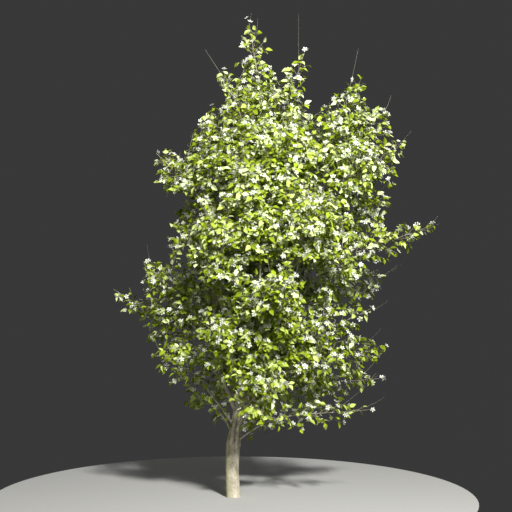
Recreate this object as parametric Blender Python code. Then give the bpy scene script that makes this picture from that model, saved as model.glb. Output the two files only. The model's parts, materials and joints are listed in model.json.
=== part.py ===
"""A flowering cherry tree, rooted in the ground.

The trunk runs from a flat cut at ground level up through the crown. Boughs leave it, or leave
one of its four leaders, and each bough ends where it enters a mass of foliage. A mass keeps to
a space of its own: a drop shape round its stem, cut by a plane halfway to each neighbour.
Lengths are in metres, headings in degrees from +X towards +Y, pitches in degrees upwards.
"""
import math
import random
from collections import namedtuple

import bmesh
import bpy
import numpy as np
from mathutils import Quaternion, Vector

SEED = 41
CLEARANCE = 0.0003            # between one solid and the next

# Trunk: the places its centre line passes through, and its radii
TRUNK_LINE = [(0, 0, 0), (-0.01, 0, 0.30), (0.015, 0, 0.60), (0.105, -0.005, 1.20),
              (0.24, 0.03, 2.00), (0.335, 0.01, 2.75), (0.295, 0, 3.60)]
STEM_RADIUS = 0.065           # below the fork
FORK_HEIGHT = 0.50            # where the lowest bough leaves
NECK_HEIGHT = 0.74            # where most of the boughs have left
NECK_RADIUS = 0.047
TRUNK_TIP_RADIUS = 0.009
TRUNK_TAPER = 0.8             # power of the taper above the neck
FLARE = 0.011                 # how far the root flare stands out at the ground
FLARE_HEIGHT = 0.07
SWELL = 0.006                 # the swelling under the fork
SWELL_HEIGHT = 0.10
FLUTES = 5                    # shallow ribs that run down from the boughs
FLUTE_DEPTH = 0.07            # as a share of the radius
TRUNK_SIDES = 12
TRUNK_RINGS = 20
RING_CROWDING = 1.7           # the rings stand closer together towards the ground

# Boughs
BOUGH_SIDES = 6
BOUGH_RINGS = (3, 3)          # rings, and rings for each metre
BOUGH_RADIUS = 0.007          # at the foot, before the share for its length
BOUGH_RADIUS_PER_LENGTH = 0.008
BOUGH_TIP_RADIUS = 0.0065
FOOT_SHARE = 0.8              # a bough's foot is at most this share of what it grows from
COLLAR = 0.35                 # the thickening where a bough leaves its parent
COLLAR_LENGTH = 0.05
ELBOW = 0.35                  # where along a bough its bend is felt

# Masses of foliage
BELLY = 0.4                   # where along its length a mass is broadest
BLUNTNESS = 1.2               # power that rounds the far end
BLUNTNESS_OF_BREADTH = 2.5
SPACE_MARGIN = 0.0015         # kept free on each side of a plane between two masses
STEM_STEPS = 5
STEM_TIP_RADIUS = 0.0045
STEM_START = 0.25             # how far the stem keeps its bough's direction
STEM_END = 0.35
TWIG_SPACING = 0.20           # along the stem
TWIG_FIRST = 0.16             # share of the stem before the first twig
TWIG_LAST = 0.88
TWIG_SHARE = 0.55             # a twig's radius, as a share of its stem's
TWIG_TAPER = 0.75
TWIG_FOOT = 0.001             # from the stem's centre line to the twig's foot
TWIG_TURNS = (0, 40, -40, 80, -80)     # turned round the stem until it fits
TWIG_PITCH = (72, 38)         # from the stem, at its foot and at its tip
TWIG_LONGEST = 0.50           # with the leaf at its tip
TWIG_SHORTEST = 0.03
TWIGS_LEAST = 4
TIP_REACH = 0.97              # share of the way to the edge of the space
STEM_REACHES = (1, 0.97, 0.94, 0.9, 0.86, 0.82, 0.78, 0.7, 0.6, 0.5)   # the first that fits
GOLDEN_ANGLE = 137.5
ROOM = 0.004                  # kept free round a bough by twigs and leaves

# Leaves and blossoms: each stands for a spray of smaller ones
LEAF_LENGTH = 0.225
LEAF_BREADTH = 0.135
LEAF_THICKNESS = 0.006
LEAF_BELLY = 0.42             # where along its length a leaf is broadest
LEAF_RIB = 0.25               # and where its midrib is thickest
LEAF_FOLD = 0.020             # how far the edges stand above the midrib
LEAF_DROOP = 0.020
LEAF_SUNK = 0.0005            # how far past the twig's centre line its root lies
LEAF_SIZES = (1.0, 0.85, 0.7, 0.5)    # the largest that fits is used
LEAF_SPREAD = (45, 65)        # from the twig
LEAF_LEAN = 0.9               # how far a leaf may turn away from the sky
LEAF_SPACING = 0.080          # along a twig
LEAF_CLEAR_OF_STEM = 0.02
LEAF_GAP = 0.018              # least distance between the blades of two leaves
TWIG_GAP = 0.016              # least distance between a blade or a twig and other twigs
OWN_TWIG = 0.045              # as near as this to its root, a leaf may be near its own twig
WOOD_SPOTS = 0.02             # spacing of the places where that is tested along a twig
BLADE_ROWS = 6                # and of those along a blade
BLADE_ROOM = 0.02             # kept free round a bough by the places where a blade is tested
BLOSSOM_RADIUS = 0.065
BLOSSOM_WAIST = 0.50          # the notch between two petals, as a share of the radius
BLOSSOM_CUP = 0.16            # how far the petals' tips stand up, as a share of the radius
BLOSSOM_THICKNESS = 0.007
BLOSSOM_DEPTH = 0.010         # from the twig's tip to the middle
BLOSSOM_TILT = 0.4            # how far it faces upwards
BLOSSOM_EVERY = 4             # one twig in so many ends in a blossom
BLOSSOM_FIRST = 2
PETALS = 5

BARK_COLOUR = (0.42, 0.36, 0.26, 1)
BOUGH_COLOUR = (0.34, 0.30, 0.23, 1)
FOLIAGE_COLOUR = (0.30, 0.42, 0.06, 1)

# A reach is a heading, a pitch and a length. A branch leaves its parent at a height on the
# trunk or a share of a bough. It has a bough of its own or none, and the bough's pitch at its
# foot differs from the whole bough's by bend. Then comes its mass of foliage.
Reach = namedtuple("Reach", "heading pitch length")
Branch = namedtuple("Branch", "parent foot bough bend mass breadth")
BRANCHES = {
    "leader_right": Branch("trunk", 0.84, Reach(4, 72, 2.26), -24, Reach(-5, 64, 1.16), 0.30),
    "leader_left": Branch("trunk", 0.80, Reach(-164, 85, 1.97), -26, Reach(133, 77, 0.93), 0.30),
    "leader_front": Branch("trunk", 0.96, Reach(-64, 71, 1.40), -26, Reach(-122, 67, 1.02), 0.38),
    "leader_back": Branch("trunk", 1.05, Reach(65, 76, 1.89), -26, Reach(59, 66, 0.97), 0.38),
    "low_right": Branch("trunk", 0.49, Reach(-16, 36, 0.35), 10, Reach(-9, 9, 1.13), 0.17),
    "right_skirt": Branch("trunk", 0.64, Reach(16, 41, 0.48), 6, Reach(5, 8, 1.16), 0.22),
    "right_low": Branch("trunk", 0.76, Reach(-19, 43, 0.61), 5, Reach(-8, 15, 1.07), 0.25),
    "left_low": Branch("trunk", 0.66, Reach(-160, 53, 0.59), 0, Reach(-158, 29, 0.55), 0.23),
    "left_long": Branch("trunk", 0.90, Reach(172, 51, 0.60), -4, Reach(177, 36, 1.10), 0.22),
    "left_skirt": Branch("trunk", 0.56, Reach(146, 54, 0.36), 8, Reach(137, 35, 0.51), 0.22),
    "front_skirt": Branch("trunk", 0.60, Reach(-63, 44, 0.39), 5, Reach(-61, 32, 0.74), 0.30),
    "right_waist": Branch("leader_right", 0.22, Reach(-19, 38, 0.44), -8, Reach(-15, 28, 0.87), 0.22),
    "right_flank": Branch("leader_right", 0.45, Reach(31, 48, 0.37), -8, Reach(13, 17, 0.91), 0.27),
    "right_long": Branch("leader_right", 0.55, Reach(-28, 45, 0.45), -8, Reach(-9, 24, 1.25), 0.23),
    "right_side": Branch("leader_right", 0.72, Reach(32, 47, 0.40), -8, Reach(18, 28, 0.82), 0.33),
    "right_shoulder": Branch("leader_right", 0.86, Reach(-30, 48, 0.42), -8, Reach(-8, 34, 0.84), 0.33),
    "right_arc": Branch("leader_right", 0.92, Reach(33, 54, 0.48), -8, Reach(15, 46, 0.84), 0.32),
    "front_side": Branch("leader_right", 0.49, Reach(-69, 58, 0.76), -8, Reach(-68, 39, 0.83), 0.42),
    "left_flank": Branch("leader_left", 0.42, Reach(-171, 41, 0.35), -8, Reach(-159, 55, 0.74), 0.26),
    "left_side": Branch("leader_left", 0.70, Reach(106, 50, 0.43), -8, Reach(128, 50, 0.59), 0.27),
    "left_arm": Branch("leader_left", 0.92, Reach(-154, 57, 0.38), -8, Reach(-166, 44, 0.58), 0.22),
    "front_flank": Branch("leader_left", 0.58, Reach(-71, 48, 0.53), -8, Reach(-104, 42, 0.75), 0.40),
    "back_side": Branch("leader_back", 0.64, Reach(34, 39, 0.49), -8, Reach(66, 41, 0.72), 0.40),
    "front_low": Branch("trunk", 1.20, None, 0, Reach(-106, 27, 1.11), 0.36),
    "front_waist": Branch("trunk", 1.50, None, 0, Reach(-71, 30, 1.29), 0.40),
    "front_crest": Branch("trunk", 2.35, None, 0, Reach(-68, 54, 1.43), 0.38),
    "back_low": Branch("trunk", 0.95, None, 0, Reach(58, 29, 1.34), 0.38),
    "back_flank": Branch("trunk", 1.45, None, 0, Reach(115, 32, 1.29), 0.38),
    "back_heart": Branch("trunk", 2.00, None, 0, Reach(95, 36, 1.20), 0.36),
    "back_crest": Branch("trunk", 2.65, None, 0, Reach(106, 59, 1.51), 0.34),
    "left_crest": Branch("trunk", 2.95, None, 0, Reach(-167, 68, 1.25), 0.26),
    "mid_crest": Branch("trunk", 3.10, None, 0, Reach(-15, 72, 1.27), 0.24),
    "top": Branch("trunk", 3.60, None, 0, Reach(180, 81, 1.01), 0.22),
}


def clear_scene():
    for thing in list(bpy.data.objects):
        bpy.data.objects.remove(thing, do_unlink=True)


def direction(heading, pitch):
    """Unit vector from a heading and a pitch."""
    level = math.cos(math.radians(pitch))
    return Vector((level * math.cos(math.radians(heading)),
                   level * math.sin(math.radians(heading)),
                   math.sin(math.radians(pitch))))


def reach_vector(reach):
    return direction(reach.heading, reach.pitch) * reach.length


def mix(low, high, share):
    return low + (high - low) * share


class Trunk:
    """The trunk's centre line and radius, both worked out from the height."""

    def __init__(self):
        self.stations = [Vector(place) for place in TRUNK_LINE]
        self.height = self.stations[-1].z

    def slope(self, index):
        low = self.stations[max(0, index - 1)]
        high = self.stations[min(len(self.stations) - 1, index + 1)]
        return (high - low) / (high.z - low.z)

    def centre(self, height):
        index = 0
        while index < len(self.stations) - 2 and height >= self.stations[index + 1].z:
            index += 1
        low, high = self.stations[index], self.stations[index + 1]
        rise = high.z - low.z
        t = (height - low.z) / rise
        place = (low * (2 * t**3 - 3 * t**2 + 1) + self.slope(index) * rise * (t**3 - 2 * t**2 + t)
                 + high * (3 * t**2 - 2 * t**3) + self.slope(index + 1) * rise * (t**3 - t**2))
        place.z = height
        return place

    def radius(self, height):
        if height > NECK_HEIGHT:
            share = (height - NECK_HEIGHT) / (self.height - NECK_HEIGHT)
            stem = mix(NECK_RADIUS, TRUNK_TIP_RADIUS, share**TRUNK_TAPER)
        else:
            share = max(0.0, (height - FORK_HEIGHT) / (NECK_HEIGHT - FORK_HEIGHT))
            stem = mix(STEM_RADIUS, NECK_RADIUS, share)
        swell = SWELL * math.exp(-((height - FORK_HEIGHT) / SWELL_HEIGHT)**2)
        return stem + swell + FLARE * math.exp(-height / FLARE_HEIGHT)

    def flute(self, angle, height):
        """Share of the radius at an angle: ribs that fade out above the neck."""
        fade = 1 / (1 + (height / NECK_HEIGHT)**4)
        return 1 - FLUTE_DEPTH * fade * (0.5 + 0.5 * math.cos(FLUTES * angle + 2 * height))

    def body(self, grown=0.0):
        """Points and faces of the trunk, or of a copy that is larger all round."""
        points = []
        for ring in range(TRUNK_RINGS + 1):
            height = self.height * (ring / TRUNK_RINGS)**RING_CROWDING
            centre = self.centre(height)
            if grown and ring in (0, TRUNK_RINGS):
                centre.z += grown if ring else -grown
            for side in range(TRUNK_SIDES):
                angle = math.tau * side / TRUNK_SIDES
                radius = self.radius(height) * self.flute(angle, height) + grown
                points.append(centre + Vector((math.cos(angle), math.sin(angle), 0)) * radius)
        return points, tube_faces(TRUNK_RINGS + 1, TRUNK_SIDES)


class Bough:
    """A tapering limb on a bent path from its foot to its tip."""

    def __init__(self, branch, foot, parent_radius):
        self.foot = foot
        self.tip = foot + reach_vector(branch.bough)
        start = direction(branch.bough.heading, branch.bough.pitch + branch.bend)
        self.elbow = foot + start * branch.bough.length * ELBOW
        self.length = branch.bough.length
        wished = BOUGH_RADIUS + BOUGH_RADIUS_PER_LENGTH * self.length
        self.foot_radius = min(wished, parent_radius * FOOT_SHARE)
        self.tip_radius = min(BOUGH_TIP_RADIUS, self.foot_radius * FOOT_SHARE)

    def centre(self, t):
        return self.foot * (1 - t)**2 + self.elbow * 2 * t * (1 - t) + self.tip * t**2

    def tangent(self, t):
        return ((self.elbow - self.foot) * (1 - t) + (self.tip - self.elbow) * t).normalized()

    def radius(self, t):
        collar = 1 + COLLAR * math.exp(-t * self.length / COLLAR_LENGTH)
        return mix(self.foot_radius, self.tip_radius, t) * collar

    def body(self, grown=0.0):
        rings = BOUGH_RINGS[0] + round(BOUGH_RINGS[1] * self.length)
        shares = [step / rings for step in range(rings + 1)]
        centres = [self.centre(t) for t in shares]
        tangents = [self.tangent(t) for t in shares]
        centres[-1] = centres[-1] + tangents[-1] * grown
        radii = [self.radius(t) + grown / math.cos(math.pi / BOUGH_SIDES) for t in shares]
        points = tube_points(centres, tangents, radii, BOUGH_SIDES, tangents[-1].orthogonal())
        return points, tube_faces(rings + 1, BOUGH_SIDES)


def tube_faces(rings, sides, closed=True):
    """Faces of a tube of rings with a flat foot and, where it is closed, a flat tip."""
    faces = [tuple(reversed(range(sides)))]
    for ring in range(rings - 1):
        for side in range(sides):
            here = ring * sides + side
            beside = ring * sides + (side + 1) % sides
            faces.append((here, beside, beside + sides, here + sides))
    if closed:
        faces.append(tuple(range((rings - 1) * sides, rings * sides)))
    return faces


def tube_points(centres, tangents, radii, sides, up):
    """Rings of a tube that turn with its path and don't twist: up is carried back from the tip."""
    rings = []
    for centre, tangent, radius in reversed(list(zip(centres, tangents, radii))):
        up = (up - tangent * up.dot(tangent)).normalized()
        across = tangent.cross(up)
        angles = [math.tau * (side - 0.5) / sides for side in range(sides)]
        rings.append([centre + (up * math.cos(a) + across * math.sin(a)) * radius for a in angles])
    return [point for ring in reversed(rings) for point in ring]


def path_tangents(centres, start):
    """Directions along a path that leaves its foot in a given direction."""
    tangents = [start]
    for index in range(1, len(centres)):
        after = centres[min(len(centres) - 1, index + 1)]
        tangents.append((after - centres[index - 1]).normalized())
    return tangents


def leaf_points(root, along, up, length):
    """A leaf's edges left and right, its tip, and the ridge and keel of its midrib."""
    side = along.cross(up).normalized()
    size = length / LEAF_LENGTH
    belly = root + along * length * LEAF_BELLY + up * LEAF_FOLD * size
    edge = side * LEAF_BREADTH / 2 * size
    tip = root + along * length - up * LEAF_DROOP * size
    rib = root + along * length * LEAF_RIB
    thick = up * LEAF_THICKNESS / 2
    return [belly - edge, tip, belly + edge, rib + thick, rib - thick]


def side_leaf(root, along, up, length):
    """A leaf of eight faces that comes to a point at its root."""
    points = [root] + leaf_points(root, along, up, length)
    faces = [(0, 3, 4), (3, 2, 4), (2, 1, 4), (1, 0, 4), (3, 0, 5), (2, 3, 5), (1, 2, 5), (0, 1, 5)]
    return points, faces


def leafy_twig(centres, tangents, radii, up, length):
    """A three-sided twig that widens into the leaf at its tip."""
    points = tube_points(centres, tangents, radii, 3, up)
    faces = tube_faces(len(centres), 3, closed=False)
    ring_left, ring_right, ring_under = len(points) - 3, len(points) - 2, len(points) - 1
    left, tip, right, ridge, keel = range(len(points), len(points) + 5)
    faces += [(ring_left, ring_right, ridge), (ring_left, ridge, left), (ring_right, right, ridge),
              (ring_right, ring_under, keel), (ring_right, keel, right),
              (ring_under, ring_left, keel), (ring_left, left, keel),
              (left, ridge, tip), (ridge, right, tip), (right, keel, tip), (keel, left, tip)]
    return points + leaf_points(centres[-1], tangents[-1], up, length), faces


def blossom_points(tip, heading, outward, up):
    """The rim of five petals and the middle of a blossom."""
    up = (up - outward * up.dot(outward)).normalized()
    across = outward.cross(up)
    centre = tip + heading * BLOSSOM_DEPTH
    points = []
    for corner in range(2 * PETALS):
        angle = math.pi * corner / PETALS
        radius = BLOSSOM_RADIUS * (BLOSSOM_WAIST if corner % 2 else 1)
        spoke = (up * math.cos(angle) + across * math.sin(angle)) * radius
        points.append(centre + spoke + outward * radius * BLOSSOM_CUP)
    return points + [centre + outward * BLOSSOM_THICKNESS]


def flowering_twig(centres, tangents, radii, up, outward):
    """A three-sided twig whose tip widens into the back of a blossom."""
    points = tube_points(centres, tangents, radii, 3, up)
    faces = tube_faces(len(centres), 3, closed=False)
    first = len(points)
    corners = 2 * PETALS
    middle = first + corners
    ring = [first - 3, first - 2, first - 1]
    holders = [ring[0]] * 2 + [ring[1]] * 3 + [ring[2]] * 4 + [ring[0]]
    holders = holders[1:] + holders[:1]
    for corner in range(corners):
        here, after = first + corner, first + (corner + 1) % corners
        faces.append((here, after, middle))
        faces.append((holders[corner], after, here))
        if holders[corner] != holders[corner - 1]:
            faces.append((holders[corner - 1], holders[corner], here))
    return points + blossom_points(centres[-1], tangents[-1], outward, up), faces


class Space:
    """The drop-shaped space of one mass, from its root to its far end."""

    def __init__(self, root, mass, breadth):
        self.root = root
        self.axis = direction(mass.heading, mass.pitch)
        self.length = mass.length
        self.end = root + self.axis * self.length
        self.breadth = breadth
        self.power = BLUNTNESS + BLUNTNESS_OF_BREADTH * breadth / mass.length
        self.planes = []

    def holds(self, points):
        """Whether every point lies in the drop and on this side of each plane."""
        spots = np.array([tuple(point) for point in points]) - np.array(self.root)
        axis = np.array(self.axis)
        run = spots @ axis
        share = run / self.length
        off_axis = np.linalg.norm(spots - np.outer(run, axis), axis=1)
        near = np.sqrt(np.clip(1 - ((BELLY - share) / BELLY)**2, 0, 1))
        far = 1 - np.clip((share - BELLY) / (1 - BELLY), 0, 1)**self.power
        limit = self.breadth * np.where(share < BELLY, near, far)
        if (share < 0).any() or (share > 1).any() or (off_axis > limit).any():
            return False
        places = spots + np.array(self.root)
        return all((places @ normal <= offset).all() for normal, offset in self.planes)

    def reach(self, place, heading, longest):
        """How far a line from a place can run before it leaves the space."""
        low, high = 0.0, longest
        if self.holds([place + heading * high]):
            return high
        for _ in range(12):
            middle = (low + high) / 2
            if self.holds([place + heading * middle]):
                low = middle
            else:
                high = middle
        return low


def closest_places(first, second):
    """The places on two straight axes that are nearest to each other."""
    run_a, run_b = first.end - first.root, second.end - second.root
    between = first.root - second.root
    a, e, b = run_a.dot(run_a), run_b.dot(run_b), run_a.dot(run_b)
    c, f = run_a.dot(between), run_b.dot(between)
    spread = a * e - b * b
    s = min(1.0, max(0.0, (b * f - c * e) / spread)) if spread > 1e-9 else 0.0
    t = (b * s + f) / e
    if t < 0:
        t, s = 0.0, min(1.0, max(0.0, -c / a))
    elif t > 1:
        t, s = 1.0, min(1.0, max(0.0, (b - c) / a))
    return first.root + run_a * s, second.root + run_b * t


def part_spaces(spaces):
    """Set a plane between each two neighbours, nearer to the slimmer one."""
    names = list(spaces)
    for index, name in enumerate(names):
        for other in names[index + 1:]:
            first, second = spaces[name], spaces[other]
            here, there = closest_places(first, second)
            gap = there - here
            if gap.length > first.breadth + second.breadth + 2 * SPACE_MARGIN:
                continue
            normal = np.array(gap.normalized())
            border = here + gap * first.breadth / (first.breadth + second.breadth)
            offset = float(normal @ np.array(border))
            first.planes.append((normal, offset - SPACE_MARGIN))
            second.planes.append((-normal, -offset - SPACE_MARGIN))


class Limbs:
    """The centre lines of the trunk and all boughs, to keep twigs and leaves clear of them."""

    def __init__(self):
        self.starts, self.ends, self.radii = [], [], []

    def add(self, centre, radius, low, high, steps):
        for step in range(steps):
            here = mix(low, high, step / steps)
            after = mix(low, high, (step + 1) / steps)
            self.starts.append(tuple(centre(here)))
            self.ends.append(tuple(centre(after)))
            self.radii.append(max(radius(here), radius(after)))

    def clear_of(self, points, room):
        """Whether every point keeps its room from every limb."""
        starts = np.array(self.starts)
        runs = np.array(self.ends) - starts
        spots = np.array([tuple(point) for point in points])[:, None, :] - starts[None]
        share = np.clip((spots * runs).sum(axis=2) / (runs * runs).sum(axis=1), 0, 1)
        distance = np.linalg.norm(spots - share[:, :, None] * runs, axis=2)
        return bool((distance > np.array(self.radii) + room).all())


class Growth:
    """The stem, twigs, leaves and blossoms of one mass, as closed bodies to be joined."""

    def __init__(self, space, limbs, start, root_radius, seed):
        self.space = space
        self.limbs = limbs
        self.start = start
        self.root_radius = root_radius
        self.random = random.Random(seed)
        self.bodies = []
        self.blades = []
        self.wood = []
        self.bow = 1.0
        self.run = space.length

    def stem_point(self, t):
        """The stem leaves along its bough and bends round to the axis of the space."""
        root, axis = self.space.root, self.space.axis
        far = root + axis * self.run
        turn = root + self.start * self.run * STEM_START
        straight = root + axis * self.run * t
        bent = (root * (1 - t)**3 + turn * 3 * t * (1 - t)**2
                + (far - axis * self.run * STEM_END) * 3 * t**2 * (1 - t) + far * t**3)
        return straight.lerp(bent, self.bow)

    def stem_radius(self, t):
        return mix(self.root_radius, STEM_TIP_RADIUS, t)

    def grow(self):
        self.grow_stem()
        for foot, tip in self.grow_twigs():
            self.line_with_leaves(lambda t: foot.lerp(tip, t), (tip - foot).length)
        self.line_with_leaves(self.stem_point, self.run)

    def grow_stem(self):
        space = self.space
        for share in STEM_REACHES:
            root, up, length = self.find_tip_leaf(space.root, space.axis, space.length * share)
            if root:
                break
        self.run = (root - space.root).length
        checks = [step / 12 for step in range(2, 13)]
        while self.bow > 0.1 and not space.holds([self.stem_point(t) for t in checks]):
            self.bow *= 0.7
        shares = [step / STEM_STEPS for step in range(STEM_STEPS + 1)]
        centres = [self.stem_point(t) for t in shares]
        tangents = path_tangents(centres, self.start)
        tangents[-1] = space.axis
        radii = [self.stem_radius(t) for t in shares]
        self.bodies.append(leafy_twig(centres, tangents, radii, up, length))
        self.note_wood(self.stem_point, self.run)

    def note_wood(self, point, length):
        count = max(2, round(length / WOOD_SPOTS))
        self.wood += [tuple(point(step / count)) for step in range(count + 1)]

    def grow_twigs(self):
        """Side twigs round the stem by the golden angle, each up to the edge of the space."""
        count = max(TWIGS_LEAST, round(self.space.length / TWIG_SPACING))
        roll = self.random.uniform(0, 360)
        twigs = []
        for index in range(count):
            t = mix(TWIG_FIRST, TWIG_LAST, index / (count - 1))
            stem_heading = (self.stem_point(t + 0.05) - self.stem_point(t - 0.05)).normalized()
            pitch = math.radians(mix(TWIG_PITCH[0], TWIG_PITCH[1], t) + self.random.uniform(-8, 8))
            flowering = index % BLOSSOM_EVERY == BLOSSOM_FIRST
            roll += GOLDEN_ANGLE
            for turn in TWIG_TURNS:
                across = stem_heading.orthogonal().normalized()
                across.rotate(Quaternion(stem_heading, math.radians(roll + turn)))
                heading = stem_heading * math.cos(pitch) + across * math.sin(pitch)
                foot = self.stem_point(t) + heading * TWIG_FOOT
                tip = self.grow_twig(foot, heading, self.stem_radius(t) * TWIG_SHARE, flowering)
                if tip:
                    twigs.append((foot, tip))
                    break
        return twigs

    def grow_twig(self, foot, heading, radius, flowering):
        """A twig with its leaf or blossom, or nothing where it would leave the space or touch."""
        reach = self.space.reach(foot, heading, TWIG_LONGEST)
        if flowering:
            tip = foot + heading * (reach * TIP_REACH - BLOSSOM_RADIUS)
            up = heading.orthogonal().normalized()
            outward = (heading + Vector((0, 0, BLOSSOM_TILT))).normalized()
            spots = blossom_points(tip, heading, outward, up)
            if not self.room_for(spots, tip):
                return None
        else:
            tip, up, length = self.find_tip_leaf(foot, heading, reach)
            if not tip:
                return None
            spots = blade_spots([tip] + leaf_points(tip, heading, up, length))
        run = (tip - foot).length
        checks = [foot.lerp(tip, step / 6) for step in range(1, 7)]
        far = [spot for spot in checks if (spot - foot).length > TWIG_GAP]
        if (run < TWIG_SHORTEST or not self.limbs.clear_of(checks, radius + ROOM)
                or not apart(far, self.wood, TWIG_GAP) or not apart(far, self.blades, TWIG_GAP)):
            return None
        line, headings, radii = [foot, tip], [heading, heading], [radius, radius * TWIG_TAPER]
        if flowering:
            self.bodies.append(flowering_twig(line, headings, radii, up, outward))
        else:
            self.bodies.append(leafy_twig(line, headings, radii, up, length))
        self.blades += spots
        self.note_wood(lambda t: foot.lerp(tip, t), run)
        return tip

    def find_tip_leaf(self, foot, heading, reach):
        """The largest leaf that ends a twig at the edge of the space: its root, up and length."""
        up = self.leaf_up(heading)
        for size in LEAF_SIZES:
            length = LEAF_LENGTH * size
            root = foot + heading * (reach * TIP_REACH - length)
            if reach * TIP_REACH > length:
                points = [root] + leaf_points(root, heading, up, length)
                if self.space.holds(points) and self.room_for(blade_spots(points), root):
                    return root, up, length
        return None, up, 0.0

    def room_for(self, spots, root):
        """Whether a blade keeps clear of limbs, of other blades and of twigs but its own."""
        far = [spot for spot in spots if (spot - root).length > OWN_TWIG]
        return (self.space.holds(spots) and self.limbs.clear_of(spots, BLADE_ROOM)
                and apart(spots, self.blades, LEAF_GAP) and apart(far, self.wood, TWIG_GAP))

    def line_with_leaves(self, point, length):
        """Leaves to the left and right of a twig in turn, from its tip back."""
        side = 1
        t = 1 - LEAF_SPACING / length
        while t * length > LEAF_CLEAR_OF_STEM:
            ahead = (point(t + 0.05) - point(t - 0.05)).normalized()
            placed = self.place_leaf(point(t), ahead, side) or self.place_leaf(point(t), ahead, -side)
            t -= LEAF_SPACING / length * (1 if placed else 0.5)
            side = -side

    def place_leaf(self, place, ahead, side):
        """A leaf at the side of a twig, as large as fits there."""
        for size in LEAF_SIZES:
            up = self.leaf_up(ahead)
            spread = math.radians(side * self.random.uniform(*LEAF_SPREAD))
            along = Quaternion(up, spread) @ ahead
            length = LEAF_LENGTH * size
            root = place - along * LEAF_SUNK
            body = side_leaf(root, along, up, length)
            spots = blade_spots(body[0])
            if self.space.holds(body[0][1:]) and self.room_for(spots, root):
                self.bodies.append(body)
                self.blades += spots
                return True
        return False

    def leaf_up(self, along):
        """Leaves face the sky, each a little off."""
        lean = LEAF_LEAN
        tilt = Vector((self.random.uniform(-lean, lean), self.random.uniform(-lean, lean), 1))
        return (tilt - along * tilt.dot(along)).normalized()


def apart(spots, others, room):
    """Whether every spot is at least a room away from every other."""
    if not spots or not others:
        return True
    here = np.array([tuple(spot) for spot in spots])[:, None, :]
    there = np.array([tuple(spot) for spot in others])[None]
    return bool((np.linalg.norm(here - there, axis=2) > room).all())


def blade_spots(points):
    """Places spread over a leaf's blade, from its root, left edge, tip and right edge."""
    root, left, tip, right = points[:4]
    spots = []
    for row in range(1, BLADE_ROWS):
        share = row / BLADE_ROWS
        wide = min(share / LEAF_BELLY, (1 - share) / (1 - LEAF_BELLY))
        spine = root.lerp(tip, share)
        spots += [spine + (right - left) * wide * column / 4 for column in (-2, -1, 0, 1, 2)]
    return spots + [tip]


def new_object(name, points, faces):
    """A mesh object of triangles, so that every face is flat."""
    mesh = bpy.data.meshes.new(name)
    mesh.from_pydata([tuple(point) for point in points], [], faces)
    shape = bmesh.new()
    shape.from_mesh(mesh)
    bmesh.ops.triangulate(shape, faces=shape.faces[:])
    bmesh.ops.recalc_face_normals(shape, faces=shape.faces[:])
    shape.to_mesh(mesh)
    shape.free()
    thing = bpy.data.objects.new(name, mesh)
    bpy.context.scene.collection.objects.link(thing)
    return thing


def bake_modifiers(thing):
    """Replace an object's mesh by what its modifiers make of it."""
    layout = bpy.context.evaluated_depsgraph_get()
    made = bpy.data.meshes.new_from_object(thing.evaluated_get(layout))
    thing.modifiers.clear()
    thing.data = made
    made.name = thing.name


def keep_largest_piece(thing):
    """Drop the loose scraps and inner shells that a union can leave."""
    shape = bmesh.new()
    shape.from_mesh(thing.data)
    bmesh.ops.triangulate(shape, faces=shape.faces[:])
    unseen = set(shape.verts)
    pieces = []
    while unseen:
        piece = {unseen.pop()}
        edge_of_piece = list(piece)
        while edge_of_piece:
            for edge in edge_of_piece.pop().link_edges:
                for vert in edge.verts:
                    if vert in unseen:
                        unseen.remove(vert)
                        piece.add(vert)
                        edge_of_piece.append(vert)
        pieces.append(piece)
    pieces.sort(key=len, reverse=True)
    scraps = [vert for piece in pieces[1:] for vert in piece]
    bmesh.ops.delete(shape, geom=scraps, context="VERTS")
    shape.to_mesh(thing.data)
    shape.free()


def join(name, bodies):
    """One closed solid from the overlapping bodies of a mass."""
    whole = new_object(name, *bodies[0])
    others = bpy.data.collections.new(name + "_pieces")
    bpy.context.scene.collection.children.link(others)
    for index, body in enumerate(bodies[1:]):
        piece = new_object(f"{name}_{index}", *body)
        bpy.context.scene.collection.objects.unlink(piece)
        others.objects.link(piece)
    union = whole.modifiers.new("join", "BOOLEAN")
    union.operation = "UNION"
    union.operand_type = "COLLECTION"
    union.collection = others
    union.solver = "EXACT"
    bake_modifiers(whole)
    for piece in list(others.objects):
        bpy.data.objects.remove(piece, do_unlink=True)
    bpy.data.collections.remove(others)
    keep_largest_piece(whole)
    return whole


def cut_clear(thing, parent_body):
    """Cut an object back from what it grows from, leaving the clearance between them."""
    cutter = new_object("cutter", *parent_body)
    cut = thing.modifiers.new("cut", "BOOLEAN")
    cut.operation = "DIFFERENCE"
    cut.object = cutter
    cut.solver = "EXACT"
    bake_modifiers(thing)
    bpy.data.objects.remove(cutter, do_unlink=True)
    keep_largest_piece(thing)


def paint(thing, colour, roughness):
    """A material of the object's own."""
    material = bpy.data.materials.new(thing.name)
    material.use_nodes = True
    surface = material.node_tree.nodes["Principled BSDF"]
    surface.inputs["Base Color"].default_value = colour
    surface.inputs["Roughness"].default_value = roughness
    surface.inputs["Metallic"].default_value = 0
    thing.data.materials.clear()
    thing.data.materials.append(material)


def shade_round(thing):
    thing.data.shade_smooth()
    thing.data.set_sharp_from_angle(angle=math.radians(40))


def lay_out(trunk):
    """Work out each branch's bough and space, parents before children."""
    boughs, spaces = {}, {}
    for name, branch in BRANCHES.items():
        if branch.parent == "trunk":
            foot, parent_radius = trunk.centre(branch.foot), trunk.radius(branch.foot)
        else:
            parent = boughs[branch.parent]
            foot, parent_radius = parent.centre(branch.foot), parent.radius(branch.foot)
        if branch.bough:
            boughs[name] = Bough(branch, foot, parent_radius)
            root = boughs[name].tip + boughs[name].tangent(1) * CLEARANCE
        elif branch.foot == trunk.height:
            root = foot + Vector((0, 0, CLEARANCE))
        else:
            root = foot
        spaces[name] = Space(root, branch.mass, branch.breadth)
    part_spaces(spaces)
    return boughs, spaces


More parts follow.
